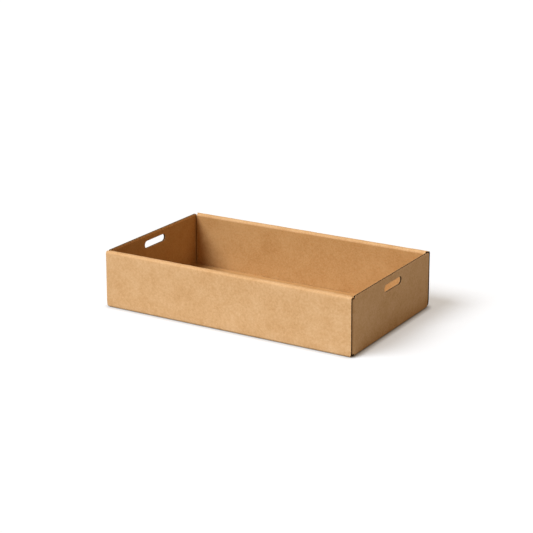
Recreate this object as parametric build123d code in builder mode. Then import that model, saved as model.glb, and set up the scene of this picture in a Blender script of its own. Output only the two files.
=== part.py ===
from build123d import *
import os

os.makedirs("parts", exist_ok=True)

# An open tray, die-cut and folded from one sheet of single-wall corrugated board.
# X runs along the length, Y along the width and Z up; the origin is the middle of the underside.
# The long sides fold up, over a flat rim and down again inside, and lock into the base.
# The end walls are single, and the tabs on their upright edges lie inside the long sides.

# Overall size
length = 500
width = 300
height = 105

# Board, and the inside radius of its folds
board = 3.6
crease = 0.8

# Long sides, and the gaps between their layers
tab_gap = 0.9
layer_gap = 0.4
foot_lean = 3.4
foot_gap = 0.4
outer_wall_setback = 2.4
inner_end_gap = 2.6

# End walls, with a hand slot in each
end_wall_drop = 0.7
slot_length = 66
slot_height = 14
slot_below_rim = 20

# Corner tabs
tab_length = 90
tab_taper = 12
tab_top_gap = 1.0

# Locking tongues at the foot of the inner walls, and their slots in the base
tongue_width = 60
tongue_spacing = 250
tongue_recess = 0.5
tongue_gap = 0.4

# Places along the length, measured from the middle
half_length = length / 2
outer_wall_end = half_length - outer_wall_setback
inner_wall_end = half_length - board - inner_end_gap
tab_free_end = half_length - tab_length

# Places across the width, measured from the middle
half_width = width / 2
rim_depth = 3 * board + tab_gap + layer_gap
rim_inner = half_width - rim_depth
foot_inner = rim_inner - foot_lean
tab_outer = half_width - board - tab_gap

# Levels above the table
foot_level = board + foot_gap
rim_under = height - board
tab_top = rim_under - tab_top_gap
end_wall_top = height - end_wall_drop
slot_level = height - slot_below_rim

# The board's middle layer, along which each folded section is drawn
half_board = board / 2
fold_middle = crease + half_board
fold_outer = crease + board
foot_middle = foot_inner + half_board

# The inner walls' lean, carried on down through the base by the tongues
lean = foot_lean / (height - half_board - foot_level)
slot_middle = foot_middle - lean * (foot_level - half_board)
tip_middle = foot_middle - lean * (foot_level - tongue_recess)

with BuildPart() as tray:
    # Base, outer walls, rims and inner walls: one folded strip, seen from the end
    with BuildSketch(Plane.YZ) as side_section:
        with BuildLine():
            FilletPolyline(
                (foot_middle, foot_level),
                (rim_inner + half_board, height - half_board),
                (half_width - half_board, height - half_board),
                (half_width - half_board, half_board),
                (half_board - half_width, half_board),
                (half_board - half_width, height - half_board),
                (-rim_inner - half_board, height - half_board),
                (-foot_middle, foot_level),
                radius=fold_middle,
            )
        trace(line_width=board)
    extrude(amount=outer_wall_end, both=True)

    # The inner walls stop short of the end walls, and the rims' ends are cut at a slant
    with BuildSketch(Plane.XY.offset(board)) as end_clearance:
        with BuildLine():
            Polyline(
                (half_length, half_width - board),
                (outer_wall_end, half_width - board),
                (inner_wall_end, rim_inner + fold_outer),
                (inner_wall_end, -rim_inner - fold_outer),
                (outer_wall_end, board - half_width),
                (half_length, board - half_width),
                close=True,
            )
        make_face()
        mirror(about=Plane.YZ)
    extrude(amount=height, mode=Mode.SUBTRACT)

    # The base ends where the end walls' folds begin, which leaves a relief notch at each corner
    with BuildSketch(Plane.XY) as base_ends:
        with Locations((half_length, 0), (-half_length, 0)):
            Rectangle(2 * fold_outer, width - 2 * board)
    extrude(amount=board, mode=Mode.SUBTRACT)

    # End walls, folded up from the base
    with BuildSketch(Plane.XZ) as end_section:
        with BuildLine():
            FilletPolyline(
                (half_board - half_length, end_wall_top),
                (half_board - half_length, half_board),
                (half_length - half_board, half_board),
                (half_length - half_board, end_wall_top),
                radius=fold_middle,
            )
        trace(line_width=board)
    extrude(amount=tab_outer - fold_outer, both=True)

    shoulder_corners = tray.edges(Select.LAST).filter_by(Axis.X).group_by(Axis.Z)[-1]
    chamfer(shoulder_corners, length=end_wall_top - tab_top)

    # Corner tabs, folded in from the end walls
    with BuildSketch(Plane.XY.offset(fold_outer)) as tab_plan:
        with BuildLine():
            FilletPolyline(
                (tab_free_end, tab_outer - half_board),
                (half_length - half_board, tab_outer - half_board),
                (half_length - half_board, tab_outer - 2 * fold_outer),
                radius=fold_middle,
            )
        trace(line_width=board)
        mirror(about=Plane.XZ)
        mirror(about=Plane.YZ)
    extrude(amount=tab_top - fold_outer)
    tab_corners = tray.edges(Select.LAST).filter_by(Axis.Y).filter_by(
        lambda edge: abs(edge.center().X) < tab_free_end + half_board
    )
    chamfer(tab_corners, length=tab_taper)

    # Slots in the base for the tongues
    with BuildSketch(Plane.XY) as tongue_slots:
        with GridLocations(tongue_spacing, 2 * slot_middle, 2, 2):
            Rectangle(tongue_width + 2 * tongue_gap, board + 2 * tongue_gap)
    extrude(amount=board, mode=Mode.SUBTRACT)

    # Tongues, from the feet of the inner walls down into the slots
    for middle in (-tongue_spacing / 2, tongue_spacing / 2):
        with BuildSketch(Plane.YZ.offset(middle)) as tongue_section:
            with BuildLine():
                Line((foot_middle, foot_level), (tip_middle, tongue_recess))
            trace(line_width=board)
            mirror(about=Plane.YZ)
        extrude(amount=tongue_width / 2, both=True)

    # Hand slots through the end walls
    with BuildSketch(Plane.YZ) as hand_slots:
        with Locations((0, slot_level)):
            SlotOverall(slot_length, slot_height)
    extrude(amount=half_length, both=True, mode=Mode.SUBTRACT)

tray.part.label = "tray"
export_step(tray.part, "parts/tray.step")
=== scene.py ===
import math

import bmesh
import bpy
from mathutils import Matrix, Vector, noise


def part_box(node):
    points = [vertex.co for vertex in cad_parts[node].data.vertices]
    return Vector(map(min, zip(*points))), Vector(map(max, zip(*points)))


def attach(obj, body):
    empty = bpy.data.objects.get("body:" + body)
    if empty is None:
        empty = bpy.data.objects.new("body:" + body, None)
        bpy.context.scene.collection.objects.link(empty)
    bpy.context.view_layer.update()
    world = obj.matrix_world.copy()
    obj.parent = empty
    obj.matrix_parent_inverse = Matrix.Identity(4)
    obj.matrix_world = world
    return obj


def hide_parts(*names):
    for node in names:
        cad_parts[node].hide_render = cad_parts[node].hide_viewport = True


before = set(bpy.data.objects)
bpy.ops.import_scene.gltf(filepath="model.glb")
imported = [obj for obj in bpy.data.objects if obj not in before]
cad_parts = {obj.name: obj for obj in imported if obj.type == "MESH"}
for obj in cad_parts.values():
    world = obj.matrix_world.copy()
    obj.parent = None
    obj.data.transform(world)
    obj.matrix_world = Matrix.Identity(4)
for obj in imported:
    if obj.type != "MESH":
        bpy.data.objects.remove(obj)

for name in ("Cube", "Light", "Camera"):
    if name in bpy.data.objects:
        bpy.data.objects.remove(bpy.data.objects[name])
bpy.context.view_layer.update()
low, high = (Vector(corner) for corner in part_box("tray"))
halfLength, halfWidth, height = high.x, high.y, high.z
print("frame loaded")

hair = 1e-5  # two places closer than this are one place
weld = 1e-6  # corners closer than this are joined


# Lengths are in metres and stand at their folded places.
tray = {
    "board": 0.0036,
    "foldOuter": 0.0044,  # outside radius of a fold
    "foldSteps": 6,
    "columns": 98,  # along the base
    "rows": 24,  # across the base
    "wallSteps": 12,
    "tabGap": 0.0009,
    "rimDepth": 0.0121,
    "wallSetback": 0.0024,
    "innerSetback": 0.0062,
    "footLevel": 0.0040,
    "footAtEnds": 0.0012,  # how far the inner wall's foot stands in, past the rim
    "footAtMiddle": 0.0056,
    "endDrop": 0.0007,
    "tabTop": 0.1004,
    "tabLength": 0.090,
    "tabTaper": 0.012,
    "shoulder": 0.0039,
    "tongueAt": 0.125,
    "tongueHalf": 0.030,
    "tongueGap": 0.0004,
    "tongueDepth": 0.0035,
    "slotLevel": 0.085,
    "slotHalf": 0.033,
    "slotRadius": 0.007,
    "liner": 0.0004,
    "edgeDepth": 0.0016,
    "bow": 0.0005,
    "rimDent": 0.00045,
    "endLean": 0.0007,
    "tabLean": 0.0012,
    "leanFrom": 0.120,  # from the middle, where the end wall's edges begin to lean in
    "leanOver": 0.020,
    "wallSpread": 0.0010,  # how far the outer walls' ends stand out at the foot
    "spreadFrom": 0.002,
    "spreadOver": 0.004,
    "spreadRise": 0.01,
    "dentBroad": 40,  # waves along the rim, per metre
    "dentFine": 150,
    "dentAcross": 60,
    "dentBroadShare": 0.6,
    "dentFineShare": 0.35,
    "dentSeeds": (3.1, 7.7, 0.5),
    "slotMargin": 0.004,
    "slotRoundSteps": 12,
    "slotStraightSteps": 10,
    "tabSteps": 6,
    "rimSteps": 2,
    "squarely": 0.9,  # how straight a face looks along an axis to count as facing that way
    "roughly": 0.7,
    "insideSlack": 0.0001,
    "insideFacing": 0.01,
    "foldGain": 0.0025,  # what a fold adds to the unfolded length
}
basePanel, outerPanel, innerPanel, endPanel = range(4)
# The hollow slot holds a near-black finish, painted shade of the open flutes and the corner slits.
# The inside slot holds a darker copy of the liner, painted shade of the tray's inside.
linerSlot, cutSlot, paintedShadeHollowSlot, paintedShadeInsideSlot = range(4)
foldStart = halfWidth - tray["foldOuter"]
endStart = halfLength - tray["foldOuter"]
endHalf = halfWidth - tray["board"] - tray["tabGap"] - tray["foldOuter"]
rimInner = halfWidth - tray["rimDepth"]
wallTop = height - tray["foldOuter"]


def sweepEdges(bm, edges, panel, steps, flatStep, move):
    # Each step adds one row of faces; the unfolded position follows along.
    panelLayer = bm.verts.layers.int["panel"]
    flatLayer = bm.verts.layers.float_vector["flat"]
    for _ in range(steps):
        made = bmesh.ops.extrude_edge_only(bm, edges=edges)["geom"]
        verts = [item for item in made if isinstance(item, bmesh.types.BMVert)]
        fresh = set(verts)
        edges = [
            item
            for item in made
            if isinstance(item, bmesh.types.BMEdge) and fresh.issuperset(item.verts)
        ]
        move(verts)
        for vert in verts:
            vert[panelLayer] = panel
            vert[flatLayer] = vert[flatLayer] + Vector(flatStep)
    return edges


def addFlat(bm, edges, panel, offset, steps, flatWay):
    step = Vector(offset) / steps
    flatStep = Vector(flatWay) * step.length
    return sweepEdges(
        bm, edges, panel, steps, flatStep,
        lambda verts: bmesh.ops.translate(bm, verts=verts, vec=step),
    )


def addFold(bm, edges, panel, centre, axis, degrees, flatWay):
    steps = tray["foldSteps"]
    turn = Matrix.Rotation(math.radians(degrees) / steps, 3, Vector(axis))
    flatStep = Vector(flatWay) * tray["foldOuter"] * math.pi / 2 / steps
    return sweepEdges(
        bm, edges, panel, steps, flatStep,
        lambda verts: bmesh.ops.rotate(bm, verts=verts, cent=Vector(centre), matrix=turn),
    )


def edgesWhere(bm, test):
    return [edge for edge in bm.edges if all(test(vert.co) for vert in edge.verts)]


def near(value, target):
    return abs(value - target) < hair


def makeBase(bm):
    size = Matrix.Diagonal((endStart, endHalf, 1, 1))
    bmesh.ops.create_grid(
        bm, x_segments=tray["columns"], y_segments=tray["rows"], size=1, matrix=size
    )
    gap = tray["tongueGap"]
    reaches = (tray["tongueHalf"], tray["tongueHalf"] + gap)
    slotX = [tray["tongueAt"] + side * reach for side in (-1, 1) for reach in reaches]
    foot = rimInner - (tray["footAtEnds"] + tray["footAtMiddle"]) / 2
    slotY = (foot - gap, foot + tray["board"] + gap)
    for place in slotX + [-x for x in slotX]:
        cutAlong(bm, (place, 0, 0), (1, 0, 0))
    for place in (*slotY, endHalf - tray["shoulder"]):
        cutAlong(bm, (0, place, 0), (0, 1, 0))
        cutAlong(bm, (0, -place, 0), (0, 1, 0))
    holes = []
    for face in bm.faces:
        middle = face.calc_center_median()
        inX = abs(abs(middle.x) - tray["tongueAt"]) < tray["tongueHalf"] + gap
        if inX and slotY[0] < abs(middle.y) < slotY[1]:
            holes.append(face)
    bmesh.ops.delete(bm, geom=holes, context="FACES")


def cutAlong(bm, point, normal):
    everything = bm.verts[:] + bm.edges[:] + bm.faces[:]
    bmesh.ops.bisect_plane(bm, geom=everything, dist=weld / 10, plane_co=point, plane_no=normal)


def makeLongSide(bm, side):
    way = (0, side, 0)
    turn = 90 * side
    radius = tray["foldOuter"]
    edges = edgesWhere(bm, lambda co: near(co.y, side * endHalf) and near(co.z, 0))
    edges = addFlat(bm, edges, basePanel, (0, side * (foldStart - endHalf), 0), 1, way)
    edges = addFold(bm, edges, outerPanel, (0, side * foldStart, radius), (1, 0, 0), turn, way)
    edges = addFlat(bm, edges, outerPanel, (0, 0, wallTop - radius), tray["wallSteps"], way)
    edges = addFold(bm, edges, outerPanel, (0, side * foldStart, wallTop), (1, 0, 0), turn, way)
    rimFlat = tray["rimDepth"] - 2 * radius
    edges = addFlat(bm, edges, outerPanel, (0, -side * rimFlat, 0), tray["rimSteps"], way)
    centre = (0, side * (rimInner + radius), wallTop)
    edges = addFold(bm, edges, innerPanel, centre, (1, 0, 0), turn, way)
    edges = addFlat(bm, edges, innerPanel, (0, 0, tray["footLevel"] - wallTop), tray["wallSteps"], way)
    reach = tray["tongueHalf"] + hair
    tongues = [
        edge
        for edge in edges
        if all(abs(abs(vert.co.x) - tray["tongueAt"]) < reach for vert in edge.verts)
    ]
    addFlat(bm, tongues, innerPanel, (0, 0, -tray["tongueDepth"]), 1, way)


def makeEndWall(bm, side):
    way = (side, 0, 0)
    radius = tray["foldOuter"]
    edges = edgesWhere(
        bm, lambda co: near(co.x, side * endStart) and near(co.z, 0) and abs(co.y) < endHalf + hair
    )
    edges = addFold(bm, edges, endPanel, (side * endStart, 0, radius), (0, 1, 0), -90 * side, way)
    edges = addFlat(bm, edges, endPanel, (0, 0, tray["tabTop"] - radius), tray["wallSteps"], way)
    top = height - tray["endDrop"]
    edges = addFlat(bm, edges, endPanel, (0, 0, top - tray["tabTop"]), 1, way)
    shoulders = {v for edge in edges for v in edge.verts if near(abs(v.co.y), endHalf)}
    for vert in shoulders:
        vert.co.z = tray["tabTop"]
    bmesh.ops.remove_doubles(bm, verts=bm.verts[:], dist=weld)


def makeCornerTab(bm, side, corner):
    way = (0, corner, 0)
    edges = edgesWhere(
        bm,
        lambda co: near(co.x, side * halfLength)
        and near(co.y, corner * endHalf)
        and tray["foldOuter"] - hair < co.z < tray["tabTop"] + hair,
    )
    centre = (side * endStart, corner * endHalf, 0)
    edges = addFold(bm, edges, endPanel, centre, (0, 0, 1), 90 * side * corner, way)
    reach = tray["tabLength"] - tray["foldOuter"] - tray["tabTaper"]
    edges = addFlat(bm, edges, endPanel, (-side * reach, 0, 0), tray["tabSteps"], way)
    edges = addFlat(bm, edges, endPanel, (-side * tray["tabTaper"], 0, 0), 1, way)
    middle = (tray["foldOuter"] + tray["tabTop"]) / 2
    free = {vert for edge in edges for vert in edge.verts}
    share = 1 - tray["tabTaper"] / (tray["tabTop"] - middle)
    for vert in free:
        vert.co.z = middle + (vert.co.z - middle) * share


def trimEnds(bm):
    # The outer walls run on past the base; the rims are cut at a slant to the shorter inner walls.
    panelLayer = bm.verts.layers.int["panel"]
    outerEnd = halfLength - tray["wallSetback"]
    innerEnd = halfLength - tray["innerSetback"]
    for vert in bm.verts:
        if not near(abs(vert.co.x), endStart) or vert[panelLayer] not in (outerPanel, innerPanel):
            continue
        y, z = abs(vert.co.y), vert.co.z
        if z < tray["foldOuter"]:
            share = z / tray["foldOuter"]
            end = endStart + (outerEnd - endStart) * math.sqrt(share)
        else:
            slant = min(max((foldStart - y) / (foldStart - rimInner - tray["foldOuter"]), 0), 1)
            onRim = z > wallTop - hair or y < foldStart - hair
            end = outerEnd + (innerEnd - outerEnd) * (slant if onRim else 0)
            if vert[panelLayer] == innerPanel:
                end = innerEnd
        vert.co.x = math.copysign(end, vert.co.x)


def cutHandSlot(bm, side):
    # A rectangle of faces is taken out of the end wall and bridged to the slot's round outline.
    level, half, radius = tray["slotLevel"], tray["slotHalf"], tray["slotRadius"]
    lowRow, highRow = level - 2 * radius, level + 2 * radius
    gone = []
    for face in bm.faces:
        middle = face.calc_center_median()
        onWall = near(middle.x, side * halfLength) and abs(face.normal.x) > tray["squarely"]
        if onWall and abs(middle.y) < half + tray["slotMargin"] and lowRow < middle.z < highRow:
            gone.append(face)
    touched = {edge for face in gone for edge in face.edges}
    border = [
        edge
        for edge in bm.edges
        if edge in touched and sum(face in gone for face in edge.link_faces) == 1
    ]
    bmesh.ops.delete(bm, geom=gone, context="FACES")
    panelLayer = bm.verts.layers.int["panel"]
    flatLayer = bm.verts.layers.float_vector["flat"]
    across = half - radius
    start = bm.verts.new((side * halfLength, across, level - radius))
    verts = [start]
    roundSteps, straightSteps = tray["slotRoundSteps"], tray["slotStraightSteps"]
    turn = Matrix.Rotation(math.pi / roundSteps, 3, Vector((1, 0, 0)))
    for corner in (1, -1):
        centre = Vector((side * halfLength, corner * across, level))
        for _ in range(roundSteps):
            vert = bmesh.ops.extrude_vert_indiv(bm, verts=[verts[-1]])["verts"][0]
            bmesh.ops.rotate(bm, verts=[vert], cent=centre, matrix=turn)
            verts.append(vert)
        for _ in range(straightSteps):
            vert = bmesh.ops.extrude_vert_indiv(bm, verts=[verts[-1]])["verts"][0]
            vert.co.y -= corner * 2 * across / straightSteps
            verts.append(vert)
    for vert in verts:
        vert[panelLayer] = endPanel
        vert[flatLayer] = Vector((side * (endStart + vert.co.z + tray["foldGain"]), vert.co.y, 0))
    bmesh.ops.remove_doubles(bm, verts=verts, dist=weld)
    outline = [edge for edge in bm.edges if edge.is_wire]
    bmesh.ops.bridge_loops(bm, edges=[edge for edge in border if edge.is_valid] + outline)


def smooth(value):
    value = min(max(value, 0), 1)
    return value * value * (3 - 2 * value)


def settle(co, panel):
    # How the folded board really stands: bowed walls, feet leaning in, dented rims.
    x, y, z = co
    out = math.copysign(1, y)
    along = math.cos(math.pi * x / halfLength)
    rise = smooth(z / height)
    if panel == outerPanel:
        lengthwise = math.cos(math.pi * x / (2 * halfLength))
        y -= out * tray["bow"] * math.sin(math.pi * min(z / wallTop, 1)) * lengthwise
        atEnd = smooth((abs(co.x) - endStart + tray["spreadFrom"]) / tray["spreadOver"])
        spread = tray["wallSpread"] * (1 - rise) * atEnd * smooth(z / tray["spreadRise"])
        x += math.copysign(spread, x)
    if panel == innerPanel:
        share = (1 + along) / 2
        lean = tray["footAtEnds"] + (tray["footAtMiddle"] - tray["footAtEnds"]) * share
        drop = max((wallTop - z) / (wallTop - tray["footLevel"]), 0)
        y -= out * lean * drop
    if panel == endPanel:
        x -= math.copysign(tray["endLean"] * rise, x)
        atCorner = smooth((abs(co.y) - tray["leanFrom"]) / tray["leanOver"])
        y -= out * tray["tabLean"] * atCorner * (1 - rise) * smooth(z / tray["foldOuter"])
    crest = smooth((z - wallTop) / tray["foldOuter"])
    if panel in (outerPanel, innerPanel) and crest > 0:
        broadSeed, fineSeed, middle = tray["dentSeeds"]
        broad = noise.noise(Vector((x * tray["dentBroad"], out * broadSeed, middle)))
        fine = noise.noise(Vector((x * tray["dentFine"], out * fineSeed, y * tray["dentAcross"])))
        dent = middle + tray["dentBroadShare"] * broad + tray["dentFineShare"] * fine
        z -= crest * tray["rimDent"] * min(max(dent, 0), 1)
    return Vector((x, y, z))


def thicken(bm):
    # Gives the folded outer face the board's thickness; the cut edges come back as the raw faces.
    bmesh.ops.recalc_face_normals(bm, faces=bm.faces[:])
    floor = min(bm.faces, key=lambda face: face.calc_center_median().length)
    if floor.normal.z > 0:
        bmesh.ops.reverse_faces(bm, faces=bm.faces[:])
    outerVerts = set(bm.verts)
    bmesh.ops.solidify(bm, geom=bm.faces[:], thickness=tray["board"])
    rawFaces = []
    for face in bm.faces:
        outside = sum(vert in outerVerts for vert in face.verts)
        if 0 < outside < len(face.verts):
            rawFaces.append(face)
    for face in rawFaces:
        face.material_index = cutSlot
        for edge in face.edges:
            if any(other not in rawFaces for other in edge.link_faces):
                edge.smooth = False
    return rawFaces


def openRawEdges(bm, rawFaces):
    # Between the two liners the board is hollow, so its cut edges are sunk; the sunk faces get a
    # near-black finish, painted shade of the open flutes.
    bmesh.ops.inset_region(
        bm, faces=rawFaces, thickness=tray["liner"], depth=0,
        use_boundary=True, use_even_offset=True,
    )
    for face in rawFaces:
        face.material_index = paintedShadeHollowSlot
    bmesh.ops.inset_region(
        bm, faces=rawFaces, thickness=0, depth=-tray["edgeDepth"],
        use_boundary=True, use_even_offset=False,
    )


def getsPaintedInsideShade(face):
    # Faces that look into the tray get a darker, warmer copy of the liner: painted shade of the tray's
    # inside.
    middle = face.calc_center_median()
    inward = Vector((0, 0, height)) - middle
    inLength = abs(middle.x) < halfLength - tray["board"] + tray["insideSlack"]
    inWidth = abs(middle.y) < rimInner + tray["insideSlack"]
    below = middle.z < wallTop
    return inLength and inWidth and below and face.normal.dot(inward) > tray["insideFacing"]


def endsLongSide(face):
    # The long sides' upright raw ends stand in the dark slit at the corner; they get the near-black
    # finish, painted shade of that slit.
    middle = face.calc_center_median()
    atEnd = abs(abs(middle.x) - (halfLength - tray["wallSetback"])) < tray["liner"]
    return atEnd and abs(face.normal.x) > tray["roughly"]


def makeFoldedTray():
    bm = bmesh.new()
    bm.verts.layers.int.new("panel")
    bm.verts.layers.float_vector.new("flat")
    makeBase(bm)
    flatLayer = bm.verts.layers.float_vector["flat"]
    for vert in bm.verts:
        vert[flatLayer] = vert.co.copy()
    for side in (-1, 1):
        makeLongSide(bm, side)
    for side in (-1, 1):
        makeEndWall(bm, side)
        for corner in (-1, 1):
            makeCornerTab(bm, side, corner)
        bm.normal_update()
        cutHandSlot(bm, side)
    trimEnds(bm)
    rawFaces = thicken(bm)
    openRawEdges(bm, rawFaces)
    print("sheet folded:", len(bm.faces), "faces")
    panelLayer = bm.verts.layers.int["panel"]
    for face in bm.faces:
        face.smooth = True
        # Painted shade: faces turned into the tray take the darker liner copy.
        if face.material_index == linerSlot and getsPaintedInsideShade(face):
            face.material_index = paintedShadeInsideSlot
        # Painted shade: the long sides' upright raw ends take the near-black finish.
        if face.material_index == cutSlot and endsLongSide(face):
            face.material_index = paintedShadeHollowSlot
    for vert in bm.verts:
        vert.co = settle(vert.co, vert[panelLayer])
    mesh = bpy.data.meshes.new("foldedTray")
    bm.to_mesh(mesh)
    openEdges = sum(1 for edge in bm.edges if len(edge.link_faces) != 2)
    print("sheet closed, open edges:", openEdges)
    bm.free()
    piece = bpy.data.objects.new("foldedTray", mesh)
    bpy.context.scene.collection.objects.link(piece)
    return piece


fluting = {
    "pitch": 0.0075,
    "stepsPerFlute": 8,
    "fewestSteps": 4,
    "paper": 0.00028,
    "depth": 0.0014,
    "below": 0.0001,  # how far the paper's edge stands below the liners'
    "stopShort": 0.001,
    "footClearance": 0.0005,
    "slotOverrun": 0.002,
}


def addFlute(bm, start, run, across, into):
    # A wavy strip of paper from start along run; it swings along across and goes into the board.
    runWay = run.normalized()
    steps = int(run.length / fluting["pitch"] * fluting["stepsPerFlute"])
    steps = max(steps, fluting["fewestSteps"])
    swing = (tray["board"] - 2 * tray["liner"] - fluting["paper"]) / 2
    shallow = bm.verts.new(start + into * fluting["below"])
    deep = bm.verts.new(start + into * fluting["depth"])
    edges = [bm.edges.new((shallow, deep))]
    faces = []
    for step in range(1, steps + 1):
        made = bmesh.ops.extrude_edge_only(bm, edges=edges)["geom"]
        verts = [item for item in made if isinstance(item, bmesh.types.BMVert)]
        edges = [
            item
            for item in made
            if isinstance(item, bmesh.types.BMEdge) and all(vert in verts for vert in item.verts)
        ]
        faces += [item for item in made if isinstance(item, bmesh.types.BMFace)]
        along = run.length / steps
        wave = [
            swing * math.sin(2 * math.pi * at * along / fluting["pitch"]) for at in (step - 1, step)
        ]
        bmesh.ops.translate(bm, verts=verts, vec=runWay * along + across * (wave[1] - wave[0]))
    bmesh.ops.solidify(bm, geom=faces, thickness=fluting["paper"])


def makeFluting():
    bm = bmesh.new()
    panelLayer = bm.verts.layers.int.new("panel")
    half = tray["board"] / 2
    top = height - tray["endDrop"]
    span = endHalf - tray["shoulder"] - fluting["stopShort"]
    outerEnd = halfLength - tray["wallSetback"]
    innerEnd = halfLength - tray["innerSetback"]
    slotTop = tray["slotLevel"] + tray["slotRadius"]
    slotLow = tray["slotLevel"] - tray["slotRadius"]
    across = tray["slotHalf"] - tray["slotRadius"] + fluting["slotOverrun"]
    up, down = Vector((0, 0, 1)), Vector((0, 0, -1))
    for side in (-1, 1):
        x = side * (halfLength - half)
        outward = Vector((side, 0, 0))
        strips = [
            (Vector((x, -span, top)), Vector((0, 2 * span, 0)), outward, down, endPanel),
            (Vector((x, -across, slotTop)), Vector((0, 2 * across, 0)), outward, up, endPanel),
            (Vector((x, -across, slotLow)), Vector((0, 2 * across, 0)), outward, down, endPanel),
        ]
        for corner in (-1, 1):
            sideways = Vector((0, corner, 0))
            wallMiddle = corner * (halfWidth - half)
            innerMiddle = corner * (rimInner + half)
            rise = Vector((0, 0, wallTop - tray["foldOuter"] - fluting["stopShort"]))
            foot = tray["foldOuter"] + fluting["footClearance"]
            outerFoot = Vector((side * outerEnd, wallMiddle, foot))
            innerFoot = Vector((side * innerEnd, innerMiddle, foot))
            strips += [
                (outerFoot, rise, sideways, -outward, outerPanel),
                (innerFoot, rise, sideways, -outward, innerPanel),
            ]
        for start, run, swingWay, into, panel in strips:
            before = set(bm.verts)
            addFlute(bm, start, run, swingWay, into)
            for vert in bm.verts:
                if vert not in before:
                    vert[panelLayer] = panel
    for vert in bm.verts:
        vert.co = settle(vert.co, vert[panelLayer])
    for face in bm.faces:
        # Flutes in the long sides' ends take a near-black copy of the medium: painted shade of the
        # corner slit.
        face.material_index = int(face.verts[0][panelLayer] == outerPanel)
    bmesh.ops.recalc_face_normals(bm, faces=bm.faces[:])
    mesh = bpy.data.meshes.new("fluting")
    bm.to_mesh(mesh)
    print("fluting:", len(bm.faces), "faces")
    bm.free()
    piece = bpy.data.objects.new("fluting", mesh)
    bpy.context.scene.collection.objects.link(piece)
    return piece


kraft = {
    "dark": (0.540, 0.305, 0.122),
    "middle": (0.650, 0.405, 0.195),
    "light": (0.735, 0.495, 0.270),
    "cloud": 26,  # broad blotches, per metre
    "mottle": 290,
    "fibre": 900,
    "softGrain": 0.6,
    "roughGrain": 0.7,
    "cloudDetail": 3,
    "mottleDetail": 4,
    "fibreDetail": 3,
    "cloudShare": 0.30,
    "mottleShare": 0.50,
    "fibreShare": 0.20,
    "fibreStretch": (0.35, 1, 1),
    "darkAt": 0.34,
    "middleAt": 0.5,
    "lightAt": 0.66,
    "roughness": 0.82,
    "shine": 0.25,
    "bandScale": 0.314 / fluting["pitch"],  # one band for each flute
    "bandWander": 0.6,
    "bandRelief": 0.25,
    "fibreRelief": 0.8,
    "reliefStrength": 0.35,
    "reliefDepth": 0.00025,
    "linerShade": (1, 1, 1),
    "cutLinerShade": (0.82, 0.82, 0.84),
    # Near-black: painted shade of the open flutes and the corner slits.
    "hollowShade": (0.10, 0.085, 0.07),
    # A darker, warmer liner: painted shade of the tray's inside.
    "insideShade": (0.79, 0.73, 0.60),
    # The medium's own greyer tone, darkened further as painted shade of the open flutes.
    "mediumShade": (0.46, 0.44, 0.42),
    # Near-black medium: painted shade of the corner slits.
    "deepMediumShade": (0.16, 0.12, 0.09),
}


def newMaterial(name):
    material = bpy.data.materials.new(name)
    material.use_nodes = True
    nodes = material.node_tree.nodes
    nodes.clear()
    output = nodes.new("ShaderNodeOutputMaterial")
    shader = nodes.new("ShaderNodeBsdfPrincipled")
    material.node_tree.links.new(shader.outputs[0], output.inputs[0])
    return material, nodes, material.node_tree.links, shader


def addNoise(nodes, links, vector, scale, detail, rough):
    node = nodes.new("ShaderNodeTexNoise")
    node.inputs["Scale"].default_value = scale
    node.inputs["Detail"].default_value = detail
    node.inputs["Roughness"].default_value = rough
    links.new(vector, node.inputs["Vector"])
    return node.outputs["Fac"]


def addMath(nodes, links, operation, first, second):
    node = nodes.new("ShaderNodeMath")
    node.operation = operation
    for socket, value in zip(node.inputs, (first, second)):
        if isinstance(value, (int, float)):
            socket.default_value = value
        else:
            links.new(value, socket)
    return node.outputs[0]


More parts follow.
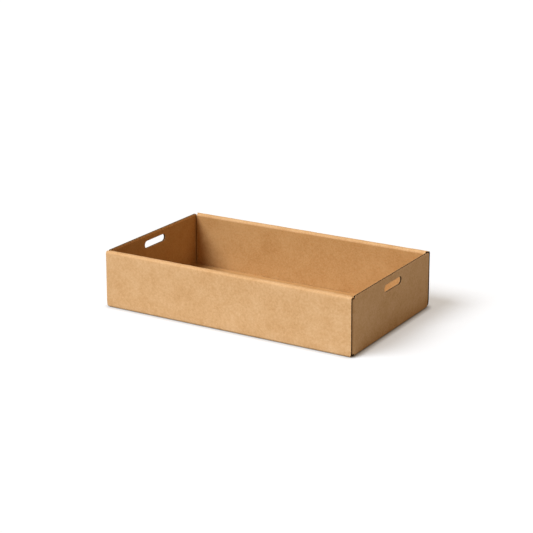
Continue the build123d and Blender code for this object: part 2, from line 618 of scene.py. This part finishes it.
def kraftMaterial(name, shade):
    material, nodes, links, shader = newMaterial(name)
    place = nodes.new("ShaderNodeTexCoord").outputs["Object"]
    grain = kraft["roughGrain"]
    cloud = addNoise(nodes, links, place, kraft["cloud"], kraft["cloudDetail"], kraft["softGrain"])
    mottle = addNoise(nodes, links, place, kraft["mottle"], kraft["mottleDetail"], grain)
    stretch = nodes.new("ShaderNodeMapping")
    stretch.inputs["Scale"].default_value = kraft["fibreStretch"]
    flat = nodes.new("ShaderNodeAttribute")
    flat.attribute_name = "flat"
    links.new(flat.outputs["Vector"], stretch.inputs["Vector"])
    unfolded = stretch.outputs["Vector"]
    fibre = addNoise(nodes, links, unfolded, kraft["fibre"], kraft["fibreDetail"], grain)
    mixed = addMath(nodes, links, "MULTIPLY", cloud, kraft["cloudShare"])
    for layer, share in ((mottle, kraft["mottleShare"]), (fibre, kraft["fibreShare"])):
        mixed = addMath(nodes, links, "ADD", mixed, addMath(nodes, links, "MULTIPLY", layer, share))
    ramp = nodes.new("ShaderNodeValToRGB")
    stops = ramp.color_ramp.elements
    stops[0].position = kraft["darkAt"]
    stops[1].position = kraft["lightAt"]
    stops.new(kraft["middleAt"])
    for stop, colour in zip(stops, (kraft["dark"], kraft["middle"], kraft["light"])):
        stop.color = (*(channel * part for channel, part in zip(colour, shade)), 1)
    links.new(mixed, ramp.inputs["Fac"])
    links.new(ramp.outputs["Color"], shader.inputs["Base Color"])
    shader.inputs["Roughness"].default_value = kraft["roughness"]
    shader.inputs["Specular IOR Level"].default_value = kraft["shine"]
    # The flutes show through the liner as faint bands.
    bands = nodes.new("ShaderNodeTexWave")
    bands.bands_direction = "Y"
    bands.inputs["Scale"].default_value = kraft["bandScale"]
    bands.inputs["Distortion"].default_value = kraft["bandWander"]
    bands.inputs["Detail"].default_value = 1
    links.new(flat.outputs["Vector"], bands.inputs["Vector"])
    banding = addMath(nodes, links, "MULTIPLY", bands.outputs["Fac"], kraft["bandRelief"])
    fuzz = addMath(nodes, links, "MULTIPLY", fibre, kraft["fibreRelief"])
    relief = addMath(nodes, links, "ADD", addMath(nodes, links, "ADD", banding, mottle), fuzz)
    bump = nodes.new("ShaderNodeBump")
    bump.inputs["Strength"].default_value = kraft["reliefStrength"]
    bump.inputs["Distance"].default_value = kraft["reliefDepth"]
    links.new(relief, bump.inputs["Height"])
    links.new(bump.outputs["Normal"], shader.inputs["Normal"])
    return material


foldedTray = makeFoldedTray()
flutes = makeFluting()
for finish in ("liner", "cutLiner", "hollow", "inside"):  # in the order of the slots
    name = "kraft" + finish[0].upper() + finish[1:]
    foldedTray.data.materials.append(kraftMaterial(name, kraft[finish + "Shade"]))
for finish in ("medium", "deepMedium"):
    name = "kraft" + finish[0].upper() + finish[1:]
    flutes.data.materials.append(kraftMaterial(name, kraft[finish + "Shade"]))
for piece in (foldedTray, flutes):
    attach(piece, "root")
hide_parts("tray")
print("tray finished")


studio = {
    "floorSize": 12,
    "floorGap": 0.0002,
    "floorColour": (0.540, 0.580, 0.622),
    "floorGlow": 0.44,
    "contactReach": 0.012,
    "contactPower": 2,
    "worldColour": (1.0, 0.65, 0.32),
    "worldStrength": 0.30,
    "keyFrom": (-1.65, -2.45, 3.2),
    "keyStrength": 3.45,
    "keySoftness": 33,  # degrees
    "keyColour": (0.99, 1.0, 1.03),
}


def makeFloor():
    bm = bmesh.new()
    bmesh.ops.create_grid(bm, x_segments=1, y_segments=1, size=studio["floorSize"] / 2)
    mesh = bpy.data.meshes.new("floor")
    bm.to_mesh(mesh)
    bm.free()
    floor = bpy.data.objects.new("floor", mesh)
    floor.location.z = low.z - studio["floorGap"]
    bpy.context.scene.collection.objects.link(floor)
    material, nodes, links, shader = newMaterial("paleFloor")
    shader.inputs["Base Color"].default_value = (*studio["floorColour"], 1)
    shader.inputs["Roughness"].default_value = 1
    shader.inputs["Specular IOR Level"].default_value = 0
    glow = nodes.new("ShaderNodeEmission")
    glow.inputs["Color"].default_value = (1, 1, 1, 1)
    # The glow fades out near the tray, which paints a dark contact shadow along its foot.
    nearby = nodes.new("ShaderNodeAmbientOcclusion")
    nearby.inputs["Distance"].default_value = studio["contactReach"]
    contact = addMath(nodes, links, "POWER", nearby.outputs["AO"], studio["contactPower"])
    seen = addMath(nodes, links, "MULTIPLY", seenDirectly(nodes, links), studio["floorGlow"])
    seen = addMath(nodes, links, "MULTIPLY", seen, contact)
    links.new(seen, glow.inputs["Strength"])
    both = nodes.new("ShaderNodeAddShader")
    output = nodes["Material Output"]
    links.new(shader.outputs[0], both.inputs[0])
    links.new(glow.outputs[0], both.inputs[1])
    links.new(both.outputs[0], output.inputs[0])
    floor.data.materials.append(material)


def seenDirectly(nodes, links):
    path = nodes.new("ShaderNodeLightPath")
    camera, glossy = path.outputs["Is Camera Ray"], path.outputs["Is Glossy Ray"]
    seen = addMath(nodes, links, "MAXIMUM", camera, glossy)
    return addMath(nodes, links, "MAXIMUM", seen, path.outputs["Is Transmission Ray"])


def makeWorld():
    world = bpy.data.worlds.new("studio")
    bpy.context.scene.world = world
    world.use_nodes = True
    nodes, links = world.node_tree.nodes, world.node_tree.links
    nodes.clear()
    output = nodes.new("ShaderNodeOutputWorld")
    soft = nodes.new("ShaderNodeBackground")
    soft.inputs["Color"].default_value = (*studio["worldColour"], 1)
    soft.inputs["Strength"].default_value = studio["worldStrength"]
    white = nodes.new("ShaderNodeBackground")
    white.inputs["Color"].default_value = (1, 1, 1, 1)
    mix = nodes.new("ShaderNodeMixShader")
    links.new(seenDirectly(nodes, links), mix.inputs[0])
    links.new(soft.outputs[0], mix.inputs[1])
    links.new(white.outputs[0], mix.inputs[2])
    links.new(mix.outputs[0], output.inputs[0])


def aimAt(thing, place, target):
    thing.location = place
    thing.rotation_euler = (Vector(target) - Vector(place)).to_track_quat("-Z", "Y").to_euler()


def makeKeyLight():
    data = bpy.data.lights.new("keyLight", "SUN")
    data.angle = math.radians(studio["keySoftness"])
    data.energy = studio["keyStrength"]
    data.color = studio["keyColour"]
    lamp = bpy.data.objects.new("keyLight", data)
    bpy.context.scene.collection.objects.link(lamp)
    aimAt(lamp, studio["keyFrom"], (0, 0, 0))


shot = {
    "azimuth": 30.94,
    "elevation": 17.88,
    "distance": 2.692,
    "aim": (-0.0059, 0.0047, 0.0734),
    "lens": 101.19,
    "sensor": 36,
}


def makeCamera():
    data = bpy.data.cameras.new("camera")
    data.lens = shot["lens"]
    data.sensor_width = shot["sensor"]
    camera = bpy.data.objects.new("camera", data)
    bpy.context.scene.collection.objects.link(camera)
    turn, tilt = math.radians(shot["azimuth"]), math.radians(shot["elevation"])
    level = Vector((math.sin(turn), -math.cos(turn), 0)) * math.cos(tilt)
    back = level + Vector((0, 0, math.sin(tilt)))
    camera.location = Vector(shot["aim"]) + back * shot["distance"]
    camera.rotation_euler = (math.pi / 2 - tilt, 0, turn)
    bpy.context.scene.camera = camera


makeFloor()
makeWorld()
makeKeyLight()
makeCamera()
bpy.context.scene.view_settings.view_transform = "Standard"
print("stage ready")
